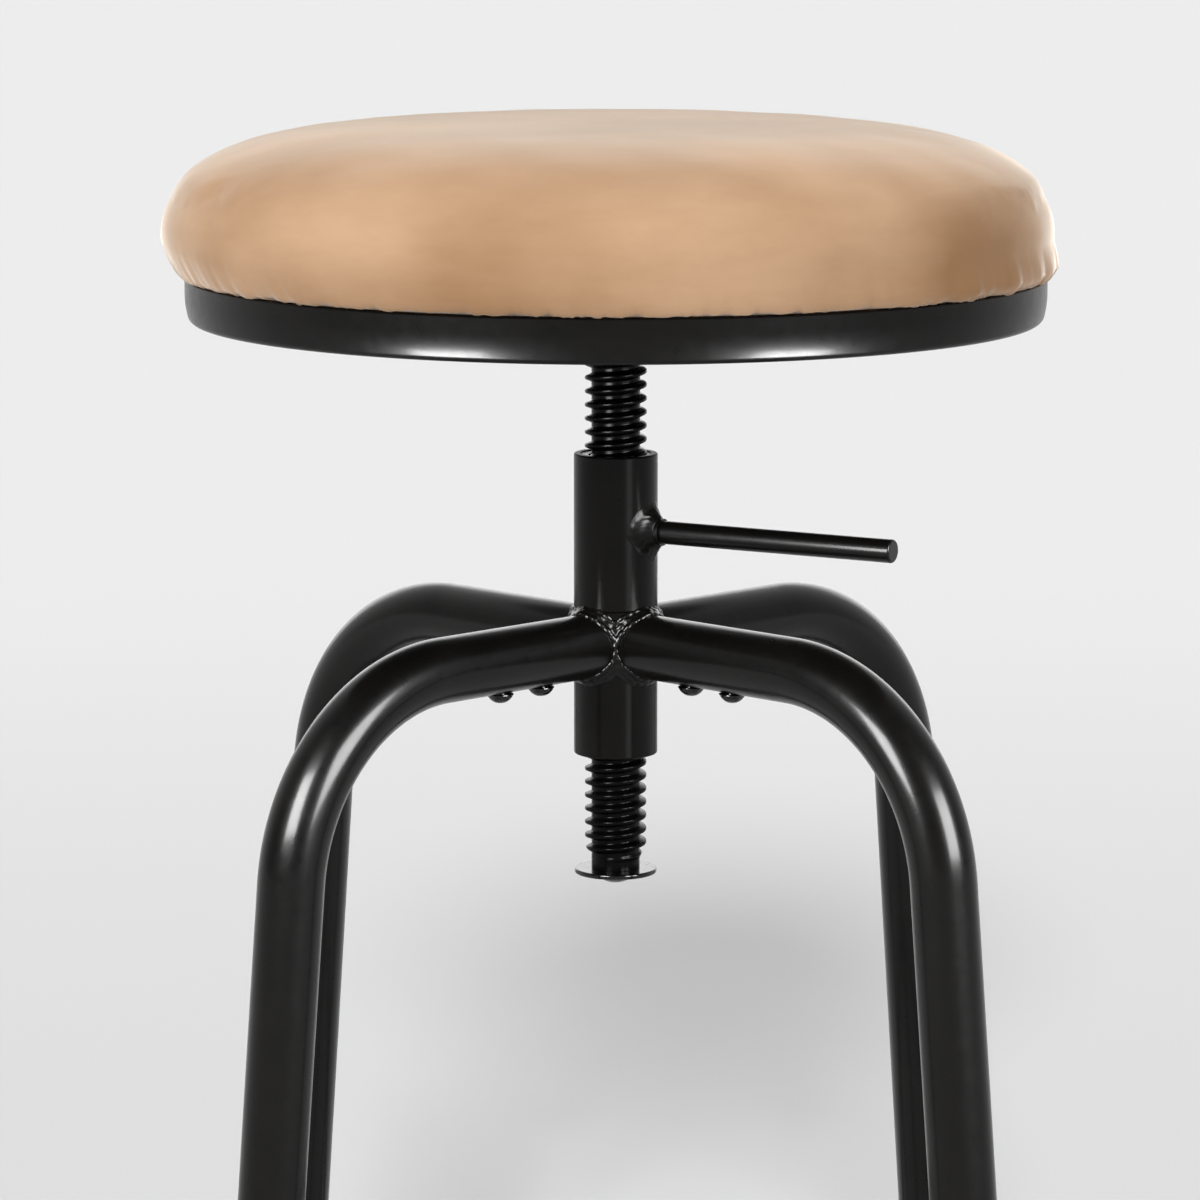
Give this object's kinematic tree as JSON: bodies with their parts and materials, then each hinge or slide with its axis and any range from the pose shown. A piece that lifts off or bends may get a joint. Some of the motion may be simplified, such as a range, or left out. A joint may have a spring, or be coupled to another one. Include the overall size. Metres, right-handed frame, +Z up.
{
  "type": "bar stool",
  "caption": "Bar stool with a round padded seat on a threaded spindle, a hub with bent tube legs, a lock lever and a foot ring. The seat turns to change its height.",
  "frame": {"origin": "on the floor, below the spindle, at the centre of the feet", "axes": "+Z up along the spindle, -Y towards the front, legs on the diagonals"},
  "size_m": [0.3698, 0.3698, 0.6793],
  "materials": {
    "black_paint": "satin black powder coat",
    "black_steel": "oiled black oxide steel",
    "black_rubber": "moulded matte rubber",
    "nylon": "plain moulded nylon",
    "brass": "turned brass",
    "zinc": "zinc plated steel",
    "plywood": "bare plywood",
    "foam": "upholstery foam",
    "suede": "tan suede-like upholstery cloth"
  },
  "bodies": {
    "frame": {"upper_hub": "black_paint", "lower_hub": "black_paint", "drive_nut": "black_steel", "guide_bush": "nylon", "stub_welds": "black_paint", "leg_stub_front_right": "black_paint", "leg_stub_back_right": "black_paint", "leg_stub_back_left": "black_paint", "leg_stub_front_left": "black_paint", "leg_front_right": "black_paint", "leg_back_right": "black_paint", "leg_back_left": "black_paint", "leg_front_left": "black_paint", "leg_screws": "black_steel", "foot_front_right": "black_rubber", "foot_back_right": "black_rubber", "foot_back_left": "black_rubber", "foot_front_left": "black_rubber", "foot_ring": "black_paint", "ring_bolts": "black_steel", "ring_nuts": "black_steel", "lever_boss": "black_paint", "boss_weld": "black_paint"},
    "stop_washer": {"stop_washer": "black_steel"},
    "seat": {"lead_screw": "black_steel", "stop_bolt": "black_steel", "mount_plate": "black_paint", "plate_weld": "black_paint", "plate_bolts": "black_steel", "tee_nuts": "zinc", "seat_pan": "black_paint", "seat_board": "plywood", "seat_foam": "foam", "seat_cover": "suede", "cover_staples": "zinc"},
    "lock_pad": {"lock_pad": "brass"},
    "lock_lever": {"lock_lever": "black_paint"}
  },
  "joints": [
    {"name": "seat_height", "type": "slide", "parent": "frame", "child": "stop_washer", "axis": [0, 0, 1], "range_m": [-0.04537, 0.04675]},
    {"name": "seat_turn", "type": "hinge", "parent": "stop_washer", "child": "seat", "pos_m": [0, 0, 0.45], "axis": [0, 0, 1], "range_deg": [-2970, 3060]},
    {"name": "lock_travel", "type": "slide", "parent": "frame", "child": "lock_pad", "axis": [0.866, -0.5, 0], "range_m": [-0.00031, 0.00125]},
    {"name": "lever_turn", "type": "hinge", "parent": "lock_pad", "child": "lock_lever", "pos_m": [0.02598, -0.015, 0.5162], "axis": [0.866, -0.5, 0], "range_deg": [-90, 360]}
  ],
  "couplings": [
    {"joint": "seat_height", "follows": "seat_turn", "m_per_rad": 0.00087535},
    {"joint": "lever_turn", "follows": "lock_travel", "rad_per_m": 5026.5}
  ]
}
